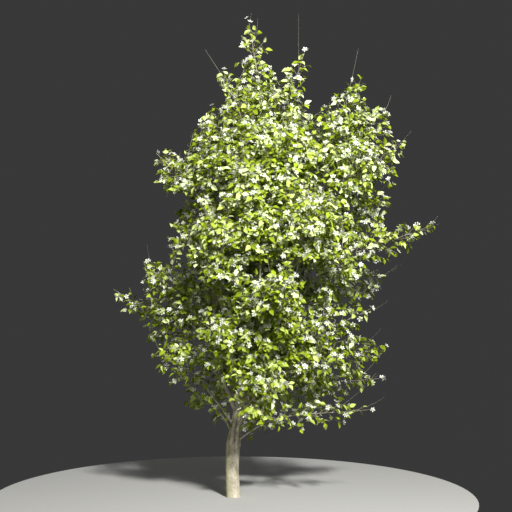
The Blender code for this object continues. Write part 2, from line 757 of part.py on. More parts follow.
def make_trunk(trunk):
    thing = new_object("trunk", *trunk.body())
    shade_round(thing)
    paint(thing, BARK_COLOUR, 0.85)
    return thing


def make_bough(name, boughs, trunk):
    parent = BRANCHES[name].parent
    thing = new_object(name + "_bough", *boughs[name].body())
    cut_clear(thing, trunk.body(CLEARANCE) if parent == "trunk" else boughs[parent].body(CLEARANCE))
    shade_round(thing)
    paint(thing, BOUGH_COLOUR, 0.8)
    return thing


def make_mass(name, space, boughs, trunk, limbs, seed):
    on_trunk = name not in boughs and BRANCHES[name].foot < trunk.height
    if name in boughs:
        start, radius = boughs[name].tangent(1), boughs[name].radius(1)
    elif on_trunk:
        start, radius = space.axis, BOUGH_TIP_RADIUS
    else:
        start, radius = Vector((0, 0, 1)), TRUNK_TIP_RADIUS
    growth = Growth(space, limbs, start, radius, seed)
    growth.grow()
    thing = join(name + "_foliage", growth.bodies)
    if on_trunk:
        cut_clear(thing, trunk.body(CLEARANCE))
    paint(thing, FOLIAGE_COLOUR, 0.5)
    return thing


def main():
    clear_scene()
    trunk = Trunk()
    boughs, spaces = lay_out(trunk)
    limbs = Limbs()
    limbs.add(trunk.centre, trunk.radius, 0, trunk.height, 60)
    for bough in boughs.values():
        limbs.add(bough.centre, bough.radius, 0, 1, 8)
    parts = [make_trunk(trunk)]
    parts += [make_bough(name, boughs, trunk) for name in boughs]
    for index, name in enumerate(BRANCHES):
        parts.append(make_mass(name, spaces[name], boughs, trunk, limbs, SEED + index))
    stand = bpy.data.objects.new("cherry_tree", None)
    bpy.context.scene.collection.objects.link(stand)
    for part in parts:
        part.parent = stand


main()
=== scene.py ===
import json
import math
import random
from collections import namedtuple

import bpy
import numpy as np
from mathutils import Matrix, Quaternion, Vector, noise

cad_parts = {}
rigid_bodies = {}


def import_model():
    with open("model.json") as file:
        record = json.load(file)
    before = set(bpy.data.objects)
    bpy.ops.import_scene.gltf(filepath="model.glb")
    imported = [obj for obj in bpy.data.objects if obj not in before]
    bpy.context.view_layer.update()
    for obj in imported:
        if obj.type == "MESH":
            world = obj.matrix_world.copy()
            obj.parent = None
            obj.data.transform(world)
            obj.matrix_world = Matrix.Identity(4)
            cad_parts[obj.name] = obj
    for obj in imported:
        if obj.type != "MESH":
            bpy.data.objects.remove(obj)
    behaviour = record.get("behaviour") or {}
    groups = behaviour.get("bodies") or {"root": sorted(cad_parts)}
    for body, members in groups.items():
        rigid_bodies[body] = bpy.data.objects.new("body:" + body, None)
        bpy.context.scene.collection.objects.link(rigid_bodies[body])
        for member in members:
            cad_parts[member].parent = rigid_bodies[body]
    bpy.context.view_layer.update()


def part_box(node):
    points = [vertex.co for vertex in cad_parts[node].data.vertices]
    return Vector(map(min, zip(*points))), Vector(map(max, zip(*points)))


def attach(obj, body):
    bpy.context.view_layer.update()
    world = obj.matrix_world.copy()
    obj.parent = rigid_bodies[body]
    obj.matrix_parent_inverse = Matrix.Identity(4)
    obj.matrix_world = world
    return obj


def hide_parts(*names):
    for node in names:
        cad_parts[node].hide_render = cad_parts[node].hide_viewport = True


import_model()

seed = 41

# The limbs and the spaces of the foliage, by the source's own rule and sizes
trunkLine = [(0, 0, 0), (-0.01, 0, 0.30), (0.015, 0, 0.60), (0.105, -0.005, 1.20),
             (0.24, 0.03, 2.00), (0.335, 0.01, 2.75), (0.295, 0, 3.60)]
trunkSizes = dict(stem=0.065, fork=0.50, neckHeight=0.74, neck=0.047, tip=0.009, taper=0.8,
                  flare=0.011, flareHeight=0.07, swell=0.006, swellHeight=0.10, flutes=5,
                  fluteDepth=0.07, fluteTwist=2, fluteFade=4)
boughSizes = dict(radius=0.007, perLength=0.008, tip=0.0065, share=0.8, collar=0.35,
                  collarLength=0.05, elbow=0.35)
spaceSizes = dict(belly=0.4, bluntness=1.2, perBreadth=2.5, margin=0.0015)
Reach = namedtuple("Reach", "heading pitch length")  # degrees, degrees, metres
Branch = namedtuple("Branch", "parent foot bough bend mass breadth")  # foot: a height, or a share of a bough
branches = {
    "leader_right": Branch("trunk", 0.84, Reach(4, 72, 2.26), -24, Reach(-5, 64, 1.16), 0.30),
    "leader_left": Branch("trunk", 0.80, Reach(-164, 85, 1.97), -26, Reach(133, 77, 0.93), 0.30),
    "leader_front": Branch("trunk", 0.96, Reach(-64, 71, 1.40), -26, Reach(-122, 67, 1.02), 0.38),
    "leader_back": Branch("trunk", 1.05, Reach(65, 76, 1.89), -26, Reach(59, 66, 0.97), 0.38),
    "low_right": Branch("trunk", 0.49, Reach(-16, 36, 0.35), 10, Reach(-9, 9, 1.13), 0.17),
    "right_skirt": Branch("trunk", 0.64, Reach(16, 41, 0.48), 6, Reach(5, 8, 1.16), 0.22),
    "right_low": Branch("trunk", 0.76, Reach(-19, 43, 0.61), 5, Reach(-8, 15, 1.07), 0.25),
    "left_low": Branch("trunk", 0.66, Reach(-160, 53, 0.59), 0, Reach(-158, 29, 0.55), 0.23),
    "left_long": Branch("trunk", 0.90, Reach(172, 51, 0.60), -4, Reach(177, 36, 1.10), 0.22),
    "left_skirt": Branch("trunk", 0.56, Reach(146, 54, 0.36), 8, Reach(137, 35, 0.51), 0.22),
    "front_skirt": Branch("trunk", 0.60, Reach(-63, 44, 0.39), 5, Reach(-61, 32, 0.74), 0.30),
    "right_waist": Branch("leader_right", 0.22, Reach(-19, 38, 0.44), -8, Reach(-15, 28, 0.87), 0.22),
    "right_flank": Branch("leader_right", 0.45, Reach(31, 48, 0.37), -8, Reach(13, 17, 0.91), 0.27),
    "right_long": Branch("leader_right", 0.55, Reach(-28, 45, 0.45), -8, Reach(-9, 24, 1.25), 0.23),
    "right_side": Branch("leader_right", 0.72, Reach(32, 47, 0.40), -8, Reach(18, 28, 0.82), 0.33),
    "right_shoulder": Branch("leader_right", 0.86, Reach(-30, 48, 0.42), -8, Reach(-8, 34, 0.84), 0.33),
    "right_arc": Branch("leader_right", 0.92, Reach(33, 54, 0.48), -8, Reach(15, 46, 0.84), 0.32),
    "front_side": Branch("leader_right", 0.49, Reach(-69, 58, 0.76), -8, Reach(-68, 39, 0.83), 0.42),
    "left_flank": Branch("leader_left", 0.42, Reach(-171, 41, 0.35), -8, Reach(-159, 55, 0.74), 0.26),
    "left_side": Branch("leader_left", 0.70, Reach(106, 50, 0.43), -8, Reach(128, 50, 0.59), 0.27),
    "left_arm": Branch("leader_left", 0.92, Reach(-154, 57, 0.38), -8, Reach(-166, 44, 0.58), 0.22),
    "front_flank": Branch("leader_left", 0.58, Reach(-71, 48, 0.53), -8, Reach(-104, 42, 0.75), 0.40),
    "back_side": Branch("leader_back", 0.64, Reach(34, 39, 0.49), -8, Reach(66, 41, 0.72), 0.40),
    "front_low": Branch("trunk", 1.20, None, 0, Reach(-106, 27, 1.11), 0.36),
    "front_waist": Branch("trunk", 1.50, None, 0, Reach(-71, 30, 1.29), 0.40),
    "front_crest": Branch("trunk", 2.35, None, 0, Reach(-68, 54, 1.43), 0.38),
    "back_low": Branch("trunk", 0.95, None, 0, Reach(58, 29, 1.34), 0.38),
    "back_flank": Branch("trunk", 1.45, None, 0, Reach(115, 32, 1.29), 0.38),
    "back_heart": Branch("trunk", 2.00, None, 0, Reach(95, 36, 1.20), 0.36),
    "back_crest": Branch("trunk", 2.65, None, 0, Reach(106, 59, 1.51), 0.34),
    "left_crest": Branch("trunk", 2.95, None, 0, Reach(-167, 68, 1.25), 0.26),
    "mid_crest": Branch("trunk", 3.10, None, 0, Reach(-15, 72, 1.27), 0.24),
    "top": Branch("trunk", 3.60, None, 0, Reach(180, 81, 1.01), 0.22),
}

# Where leaves may stand past their own space: in the crown's heart, by a bough or in a near space
crownHeart = dict(centre=(0.24, 0.02, 2.45), radii=(0.86, 0.78, 1.50))
crownSizes = dict(shootReach=0.20, firstCheck=2, checks=8, step=0.02, near=0.1, margin=0.02)
foliageBoxes = [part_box(name + "_foliage") for name in branches]
crownLow = [min(low[axis] for low, _ in foliageBoxes) - crownSizes["margin"] for axis in range(3)]
crownHigh = [max(high[axis] for _, high in foliageBoxes) + crownSizes["margin"] for axis in range(3)]


def inBox(point):
    return all(low < value < high for value, low, high in zip(point, crownLow, crownHigh))


def direction(heading, pitch):
    level = math.cos(math.radians(pitch))
    return Vector((level * math.cos(math.radians(heading)), level * math.sin(math.radians(heading)),
                   math.sin(math.radians(pitch))))


def mix(low, high, share):
    return low + (high - low) * share


class Trunk:
    def __init__(self):
        self.stations = [Vector(place) for place in trunkLine]
        self.height = self.stations[-1].z

    def slope(self, index):
        low = self.stations[max(0, index - 1)]
        high = self.stations[min(len(self.stations) - 1, index + 1)]
        return (high - low) / (high.z - low.z)

    def centre(self, height):  # a smooth cubic through the stations
        index = 0
        while index < len(self.stations) - 2 and height >= self.stations[index + 1].z:
            index += 1
        low, high = self.stations[index], self.stations[index + 1]
        rise = high.z - low.z
        t = (height - low.z) / rise
        place = (low * (2 * t**3 - 3 * t**2 + 1) + self.slope(index) * rise * (t**3 - 2 * t**2 + t)
                 + high * (3 * t**2 - 2 * t**3) + self.slope(index + 1) * rise * (t**3 - t**2))
        place.z = height
        return place

    def radius(self, height):
        s = trunkSizes
        if height > s["neckHeight"]:
            share = (height - s["neckHeight"]) / (self.height - s["neckHeight"])
            stem = mix(s["neck"], s["tip"], share**s["taper"])
        else:
            share = max(0.0, (height - s["fork"]) / (s["neckHeight"] - s["fork"]))
            stem = mix(s["stem"], s["neck"], share)
        swell = s["swell"] * math.exp(-((height - s["fork"]) / s["swellHeight"])**2)
        return stem + swell + s["flare"] * math.exp(-height / s["flareHeight"])

    def flute(self, angle, height):
        s = trunkSizes
        fade = 1 / (1 + (height / s["neckHeight"])**s["fluteFade"])
        ribs = 0.5 + 0.5 * math.cos(s["flutes"] * angle + s["fluteTwist"] * height)
        return 1 - s["fluteDepth"] * fade * ribs


class Bough:
    def __init__(self, branch, foot, parentRadius):
        s = boughSizes
        reach = branch.bough
        self.foot = foot
        self.length = reach.length
        self.tip = foot + direction(reach.heading, reach.pitch) * reach.length
        self.elbow = foot + direction(reach.heading, reach.pitch + branch.bend) * reach.length * s["elbow"]
        self.footRadius = min(s["radius"] + s["perLength"] * self.length, parentRadius * s["share"])
        self.tipRadius = min(s["tip"], self.footRadius * s["share"])

    def centre(self, t):
        return self.foot * (1 - t)**2 + self.elbow * 2 * t * (1 - t) + self.tip * t**2

    def tangent(self, t):
        return ((self.elbow - self.foot) * (1 - t) + (self.tip - self.elbow) * t).normalized()

    def radius(self, t):
        collar = 1 + boughSizes["collar"] * math.exp(-t * self.length / boughSizes["collarLength"])
        return mix(self.footRadius, self.tipRadius, t) * collar


class Space:
    def __init__(self, root, mass, breadth, bough):
        self.root, self.bough = root, bough
        self.axis = direction(mass.heading, mass.pitch)
        self.length = mass.length
        self.end = root + self.axis * self.length
        self.breadth = breadth
        self.power = spaceSizes["bluntness"] + spaceSizes["perBreadth"] * breadth / mass.length
        self.planes, self.near = [], []

    def holds(self, point, planes=True):
        spot = point - self.root
        run = spot.dot(self.axis)
        share = run / self.length
        if share < 0 or share > 1:
            return False
        belly = spaceSizes["belly"]
        if share < belly:
            limit = math.sqrt(max(0, 1 - ((belly - share) / belly)**2))
        else:
            limit = 1 - ((share - belly) / (1 - belly))**self.power
        if (spot - self.axis * run).length > self.breadth * limit:
            return False
        return not planes or all(point.dot(normal) <= offset for normal, offset in self.planes)

    def byBough(self, point):
        s = crownSizes
        places = [self.bough.centre(k / s["checks"]) for k in range(s["firstCheck"], s["checks"] + 1)]
        return min((point - place).length for place in places) < s["shootReach"]

    def inCrown(self, point):
        if self.holds(point, planes=False) or self.bough and self.byBough(point):
            return True
        heart = [(value - middle) / radius for value, middle, radius
                 in zip(point, crownHeart["centre"], crownHeart["radii"])]
        if sum(value * value for value in heart) < 1:
            return True
        return any(space.holds(point, planes=False) for space in self.near)

    def freeRun(self, place, heading, longest):  # how far the crown reaches from a place
        step = crownSizes["step"]
        run = 2 * step
        while run < longest and self.inCrown(place + heading * run):
            run += step
        return run - step


def closestPlaces(first, second):
    runA, runB = first.end - first.root, second.end - second.root
    between = first.root - second.root
    a, e, b = runA.dot(runA), runB.dot(runB), runA.dot(runB)
    c, f = runA.dot(between), runB.dot(between)
    spread = a * e - b * b
    s = min(1.0, max(0.0, (b * f - c * e) / spread)) if spread > 1e-9 else 0.0
    t = (b * s + f) / e
    if t < 0:
        t, s = 0.0, min(1.0, max(0.0, -c / a))
    elif t > 1:
        t, s = 1.0, min(1.0, max(0.0, (b - c) / a))
    return first.root + runA * s, second.root + runB * t


def partSpaces(spaces):
    names = list(spaces)
    margin = spaceSizes["margin"]
    for index, name in enumerate(names):
        for other in names[index + 1:]:
            first, second = spaces[name], spaces[other]
            here, there = closestPlaces(first, second)
            gap = there - here
            if gap.length > first.breadth + second.breadth + 2 * margin:
                continue
            normal = gap.normalized()
            offset = normal.dot(here + gap * first.breadth / (first.breadth + second.breadth))
            first.planes.append((normal, offset - margin))
            second.planes.append((-normal, -offset - margin))
    for space in spaces.values():
        for other in spaces.values():
            here, there = closestPlaces(space, other)
            reach = space.breadth + other.breadth + crownSizes["near"]
            if other is not space and (here - there).length < reach:
                space.near.append(other)


def layOut(trunk):
    boughs, spaces = {}, {}
    for name, branch in branches.items():
        if branch.parent == "trunk":
            foot, parentRadius = trunk.centre(branch.foot), trunk.radius(branch.foot)
        else:
            parent = boughs[branch.parent]
            foot, parentRadius = parent.centre(branch.foot), parent.radius(branch.foot)
        root = foot
        if branch.bough:
            boughs[name] = Bough(branch, foot, parentRadius)
            root = boughs[name].tip
        spaces[name] = Space(root, branch.mass, branch.breadth, boughs.get(name))
    partSpaces(spaces)
    return boughs, spaces


# Shader maths
class Sock:
    def __init__(self, tree, socket):
        self.tree, self.socket = tree, socket

    def math(self, operation, other, swap=False):
        node = self.tree.nodes.new("ShaderNodeMath")
        node.operation = operation
        for slot, value in zip(node.inputs, (other, self) if swap else (self, other)):
            plug(self.tree, slot, value)
        return Sock(self.tree, node.outputs[0])

    def __add__(self, other): return self.math("ADD", other)
    def __radd__(self, other): return self.math("ADD", other)
    def __mul__(self, other): return self.math("MULTIPLY", other)
    def __rmul__(self, other): return self.math("MULTIPLY", other)
    def __sub__(self, other): return self.math("SUBTRACT", other)
    def __rsub__(self, other): return self.math("SUBTRACT", other, swap=True)


def plug(tree, slot, value):
    if isinstance(value, Sock):
        tree.links.new(value.socket, slot)
    else:
        slot.default_value = value


class Shader:
    def __init__(self, name):
        self.material = bpy.data.materials.new(name)
        self.material.use_nodes = True
        self.tree = self.material.node_tree
        self.surface = self.tree.nodes["Principled BSDF"]
        self.output = self.tree.nodes["Material Output"]

    def node(self, kind, settings=None, inputs=None, output=0):
        node = self.tree.nodes.new(kind)
        for key, value in (settings or {}).items():
            if key == "stops":
                ramp = node.color_ramp
                for index, (place, colour) in enumerate(value):
                    stop = ramp.elements[index] if index < 2 else ramp.elements.new(place)
                    stop.position, stop.color = place, (*colour, 1)
            else:
                setattr(node, key, value)
        for key, value in (inputs or {}).items():
            plug(self.tree, node.inputs[key], value)
        return Sock(self.tree, node.outputs[output])

    def attribute(self, name):
        return self.node("ShaderNodeAttribute", dict(attribute_name=name), output="Fac")

    def ramp(self, stops, share):
        return self.node("ShaderNodeValToRGB", dict(stops=stops), dict(Fac=share))

    def mixColours(self, share, first, second):  # the colour sockets by number, as their names repeat
        return self.node("ShaderNodeMix", dict(data_type="RGBA"), {0: share, 6: first, 7: second}, output=2)

    def blend(self, glow, share):
        plain = Sock(self.tree, self.surface.outputs[0])
        both = self.node("ShaderNodeMixShader", inputs={0: share, 1: plain, 2: glow})
        plug(self.tree, self.output.inputs["Surface"], both)

    def set(self, **values):
        names = dict(colour="Base Color", roughness="Roughness", normal="Normal",
                     specular="Specular IOR Level")
        for key, value in values.items():
            plug(self.tree, self.surface.inputs[names[key]], value)


# the bark's colour is darkened by painted shade in the creases at the fork
barkLook = dict(detail=8, rough=0.62, patchScale=9, patchDetail=3, grain=0.7, patches=0.3, crease=0.60,
                darkAt=0.36, lightAt=0.62, moss=(0.24, 0.25, 0.09, 1), mossFloor=0.25,
                bump=0.5, bumpDepth=0.004, roughness=0.85)


def barkMaterial(name, light, dark, scale):
    look = barkLook
    shader = Shader(name)
    where = shader.node("ShaderNodeTexCoord", output="Object")
    grain = shader.node("ShaderNodeTexNoise", inputs=dict(Vector=where, Scale=scale, Detail=look["detail"],
                                                          Roughness=look["rough"]))
    patches = shader.node("ShaderNodeTexNoise", inputs=dict(Vector=where, Scale=look["patchScale"],
                                                            Detail=look["patchDetail"]))
    # painted shade: the bark is darker in the creases at the fork
    tone = grain * look["grain"] + patches * look["patches"] - shader.attribute("crease") * look["crease"]
    wood = shader.ramp([(look["darkAt"], dark), (look["lightAt"], light)], tone)
    mossy = shader.attribute("moss") * (look["mossFloor"] + grain)
    bump = shader.node("ShaderNodeBump", inputs=dict(Height=grain, Strength=look["bump"],
                                                     Distance=look["bumpDepth"]))
    shader.set(colour=shader.mixColours(mossy, wood, look["moss"]), roughness=look["roughness"], normal=bump)
    return shader.material


def thinMaterial(name, look):  # leaves and petals, which let some light through
    shader = Shader(name)
    shader.set(colour=shader.ramp(look["stops"], shader.attribute(look["attribute"])),
               roughness=look["roughness"], specular=look["specular"])
    glow = shader.node("ShaderNodeBsdfTranslucent", inputs=dict(Color=look["glow"]))
    shader.blend(glow, look["seeThrough"])
    return shader.material


# Meshes
def newObject(name, points, faces, edges=()):
    mesh = bpy.data.meshes.new(name)
    mesh.from_pydata([tuple(point) for point in points], list(edges), faces)
    thing = bpy.data.objects.new(name, mesh)
    bpy.context.scene.collection.objects.link(thing)
    return thing


def setAttribute(thing, name, kind, values):
    layer = thing.data.attributes.new(name, kind, "POINT")
    field = "vector" if kind == "FLOAT_VECTOR" else "value"
    layer.data.foreach_set(field, np.array(values, np.float32).ravel())


# Geometry Nodes
def newTree(name, inputs):
    tree = bpy.data.node_groups.new(name, "GeometryNodeTree")
    tree.interface.new_socket("Geometry", in_out="INPUT", socket_type="NodeSocketGeometry")
    ids = {}
    for label, kind in inputs.items():
        ids[label] = tree.interface.new_socket(label, in_out="INPUT", socket_type=kind).identifier
    tree.interface.new_socket("Geometry", in_out="OUTPUT", socket_type="NodeSocketGeometry")
    return tree, ids


def namedValue(tree, name, kind):
    node = tree.nodes.new("GeometryNodeInputNamedAttribute")
    node.data_type = kind
    node.inputs["Name"].default_value = name
    return node.outputs["Attribute"]


def finishTree(tree, source, geometry):  # real meshes in the given material
    real = tree.nodes.new("GeometryNodeRealizeInstances")
    paint = tree.nodes.new("GeometryNodeSetMaterial")
    target = tree.nodes.new("NodeGroupOutput")
    tree.links.new(geometry, real.inputs[0])
    tree.links.new(real.outputs[0], paint.inputs["Geometry"])
    tree.links.new(source.outputs["Material"], paint.inputs["Material"])
    tree.links.new(paint.outputs[0], target.inputs[0])


def scatterTree():  # one shape on every point, turned and sized by the point's own values
    tree, ids = newTree("scatter", {"Shape": "NodeSocketObject", "Length": "NodeSocketFloat",
                                    "Material": "NodeSocketMaterial"})
    nodes, link = tree.nodes, tree.links.new
    source = nodes.new("NodeGroupInput")
    shape = nodes.new("GeometryNodeObjectInfo")
    place = nodes.new("GeometryNodeInstanceOnPoints")
    turn = nodes.new("FunctionNodeEulerToRotation")
    size = nodes.new("ShaderNodeMath")
    size.operation = "MULTIPLY"
    link(source.outputs["Geometry"], place.inputs["Points"])
    link(source.outputs["Shape"], shape.inputs["Object"])
    link(shape.outputs["Geometry"], place.inputs["Instance"])
    link(namedValue(tree, "turn", "FLOAT_VECTOR"), turn.inputs[0])
    link(turn.outputs[0], place.inputs["Rotation"])
    link(namedValue(tree, "size", "FLOAT"), size.inputs[0])
    link(source.outputs["Length"], size.inputs[1])
    link(size.outputs[0], place.inputs["Scale"])
    finishTree(tree, source, place.outputs[0])
    return tree, ids


def twigTree():  # a tapering tube along every line of edges
    tree, ids = newTree("twigs", {"Sides": "NodeSocketInt", "Material": "NodeSocketMaterial"})
    nodes, link = tree.nodes, tree.links.new
    source = nodes.new("NodeGroupInput")
    curve = nodes.new("GeometryNodeMeshToCurve")
    ring = nodes.new("GeometryNodeCurvePrimitiveCircle")
    ring.inputs["Radius"].default_value = 1
    sweep = nodes.new("GeometryNodeCurveToMesh")
    link(source.outputs["Geometry"], curve.inputs["Mesh"])
    link(source.outputs["Sides"], ring.inputs["Resolution"])
    link(curve.outputs[0], sweep.inputs["Curve"])
    link(ring.outputs[0], sweep.inputs["Profile Curve"])
    link(namedValue(tree, "thickness", "FLOAT"), sweep.inputs["Scale"])
    finishTree(tree, source, sweep.outputs[0])
    return tree, ids


def runTree(thing, tree, ids, values):
    modifier = thing.modifiers.new("nodes", "NODES")
    modifier.node_group = tree
    for label, value in values.items():
        modifier[ids[label]] = value
    layout = bpy.context.evaluated_depsgraph_get()
    made = bpy.data.meshes.new_from_object(thing.evaluated_get(layout))
    thing.modifiers.clear()
    thing.data = made
    made.name = thing.name
    return thing


# Limbs
trunk = Trunk()
boughs, spaces = layOut(trunk)
barkSizes = dict(trunkSides=84, trunkRings=640, crowding=1.3, slopeStep=0.004, upright=0.02, ground=0.0005,
                 leaderLength=1, leaderSides=20, boughSides=12, ringsPerMetre=90, extraRings=8,
                 relief=0.0050, boughRelief=0.0035, fullRadius=0.03, squash=0.55, fine=38, fineShare=0.55,
                 fractal=(0.9, 2.1, 4), coarse=13, coarseShare=0.45, creaseHeight=0.66, creaseSpread=0.17,
                 creases=7, creaseTwist=4.5, creaseWander=2.2, wanderScale=4, creasePower=6,
                 creaseDepth=0.010, mossHeight=0.7, mossFade=4)
barkTone = dict(light=(0.56, 0.52, 0.40), dark=(0.22, 0.19, 0.14), scale=80)


def limbMesh(centre, tangent, radius, sides, rings, relief, marks):
    s = barkSizes
    points, faces, marked = [], [], []
    up = tangent(0).orthogonal().normalized()
    for ring in range(rings + 1):
        t = ring / rings
        ahead = tangent(t)
        up = (up - ahead * up.dot(ahead)).normalized()
        across = ahead.cross(up)
        for side in range(sides):
            angle = math.tau * side / sides
            out = up * math.cos(angle) + across * math.sin(angle)
            wide = radius(t, angle)
            place = centre(t) + out * wide
            spot = Vector((place.x, place.y, place.z * s["squash"]))
            rough = (noise.fractal(spot * s["fine"], *s["fractal"]) * s["fineShare"]
                     + noise.noise(spot * s["coarse"]) * s["coarseShare"])
            # the crease mask cuts the bark in and is kept as painted shade for its colour
            crease, moss = marks(place.z, angle, out)
            size = min(1, wide / s["fullRadius"])
            points.append(place + out * (rough * relief * size - crease * s["creaseDepth"]))
            marked.append((crease, moss))
    for ring in range(rings):
        for side in range(sides):
            here, beside = ring * sides + side, ring * sides + (side + 1) % sides
            faces.append((here, beside, beside + sides, here + sides))
    faces.append(tuple(reversed(range(sides))))
    faces.append(tuple(range(rings * sides, (rings + 1) * sides)))
    return points, faces, marked


def trunkMesh():
    s = barkSizes

    def height(t):
        return trunk.height * t**s["crowding"]

    def tangent(t):  # upright at the ground, so that the foot stays flat
        low, high = max(0, t - s["slopeStep"]), min(1, t + s["slopeStep"])
        rise = trunk.centre(height(high)) - trunk.centre(height(low))
        return rise.normalized() if t > s["upright"] else Vector((0, 0, 1))

    def marks(z, angle, out):  # the creases between the stems at the fork, cut into the bark and darkened in colour as painted shade, the moss on one side
        near = math.exp(-((z - s["creaseHeight"]) / s["creaseSpread"])**2)
        wander = noise.noise(Vector((math.cos(angle), math.sin(angle), z * s["wanderScale"])))
        line = 0.5 + 0.5 * math.cos(s["creases"] * angle + s["creaseTwist"] * z + s["creaseWander"] * wander)
        moss = max(0, -out.x) / (1 + (z / s["mossHeight"])**s["mossFade"])
        return near * line**s["creasePower"], moss

    return limbMesh(lambda t: trunk.centre(height(t)), tangent,
                    lambda t, angle: trunk.radius(height(t)) * trunk.flute(angle, height(t)),
                    s["trunkSides"], s["trunkRings"], s["relief"], marks)


def boughMesh(bough):
    s = barkSizes
    sides = s["leaderSides"] if bough.length > s["leaderLength"] else s["boughSides"]
    rings = round(s["ringsPerMetre"] * bough.length) + s["extraRings"]
    return limbMesh(bough.centre, bough.tangent, lambda t, angle: bough.radius(t), sides, rings,
                    s["boughRelief"], lambda z, angle, out: (0.0, 0.0))


def makeBark():
    points, faces, marked = [], [], []
    for bodyPoints, bodyFaces, bodyMarks in [trunkMesh()] + [boughMesh(bough) for bough in boughs.values()]:
        first = len(points)
        points += bodyPoints
        faces += [tuple(first + corner for corner in face) for face in bodyFaces]
        marked += bodyMarks
    for point in points:
        if point.z < barkSizes["ground"]:
            point.z = 0.0
    piece = newObject("bark", points, faces)
    # the crease mask goes on as painted shade, the moss as the bark's own colour
    for index, name in enumerate(("crease", "moss")):
        setAttribute(piece, name, "FLOAT", [mark[index] for mark in marked])
    piece.data.shade_smooth()
    piece.data.materials.append(barkMaterial("bark", **barkTone))
    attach(piece, "root")
    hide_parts("trunk", *[name + "_bough" for name in boughs])


makeBark()
print("bark done")

# Foliage: the source's rule, carried to finer twigs, true-size leaves and blossoms
fullness = dict(low_right=0.50, right_skirt=0.55, right_low=0.65, left_low=0.60, left_long=0.65,
                left_skirt=0.50, front_skirt=0.65, front_low=0.80, front_waist=1.15, front_side=1.15,
                front_flank=1.15, right_waist=0.70, right_flank=0.80, right_side=0.90, right_long=0.72,
                right_arc=0.85, leader_right=0.85, left_crest=0.80, mid_crest=0.60, top=0.50,
                back_low=0.85, back_crest=0.85)
stemSizes = dict(run=0.93, leave=0.25, arrive=0.35, firstCheck=2, checks=12, straighten=0.7, leastBow=0.1,
                 steps=14, slopeStep=0.02, foot=0.0064, tip=0.0016)
twigSizes = dict(spacing=0.0185, first=0.08, last=0.985, crowding=1.35, golden=137.5, pitchFoot=72,
                 pitchTip=38, pitchSpread=10, longest=0.62, shortest=0.05, fullFoot=0.6, fullTip=0.3,
                 fullest=0.99, footRadius=0.0030, outerRadius=0.0016, tipRadius=0.0009, bushyFoot=0.8,
                 bushyTip=0.25, thinning=0.75, lift=0.14, bend=0.07, stepLength=0.07, fewest=3, sides=3,
                 slopeStep=0.03, leafStart=0.05, leafSpacing=0.025, uneven=(0.85, 1.25), sparser=1.3,
                 blossoms=0.24, edge=0.06, shrink=0.85)
shootSizes = dict(spacing=0.085, first=0.35, last=0.98, aside=(0.7, 1.4), lift=0.2, length=(0.08, 0.18),
                  radius=0.0022, bushy=0.3)
whipSizes = dict(counts=(0, 1, 1, 2), start=(0.62, 0.97), aside=(0.15, 0.5), length=(0.26, 0.50), past=1.12,
                 extra=0.06, bend=0.18, lift=(0.10, 0.42), least=0.01, shrink=0.85, steps=6, foot=0.0016,
                 tip=0.0006, leaves=5, leafParts=7, leafShare=0.7, blossomShare=0.6)
sprigSizes = dict(length=(0.045, 0.105), thickness=0.5, loose=0.9, turn=(35, 62), rise=0.006,
                  least=0.0008, middleRadius=0.0009, tipRadius=0.0007, second=0.8, secondShare=0.5)
rosetteSizes = dict(blossoming=0.60, blossoms=(1, 1, 2, 3), leaves=((-1, 1), (-1, 1), (0, 1, -1)))
leafSizes = dict(length=0.083, size=(0.62, 1.08), loose=0.9, turn=(32, 66), wobble=8, droop=(-0.85, 0.15),
                 outward=(0.1, 1.3), tumble=1.2, skyward=0.65, held=0.7)
blossomSizes = dict(width=0.050, size=(0.75, 1.1), ahead=0.7, tumble=1, skyward=0.45, stalk=(0.012, 0.032),
                    held=0.01)


def slopeAt(point, t, step):
    return (point(t + step) - point(t - step)).normalized()


def acrossFrom(along, angle):  # a direction square to another, turned about it
    across = along.orthogonal().normalized()
    across.rotate(Quaternion(along, angle))
    return across


def squareTo(along, tilt):
    return (tilt - along * tilt.dot(along)).normalized()


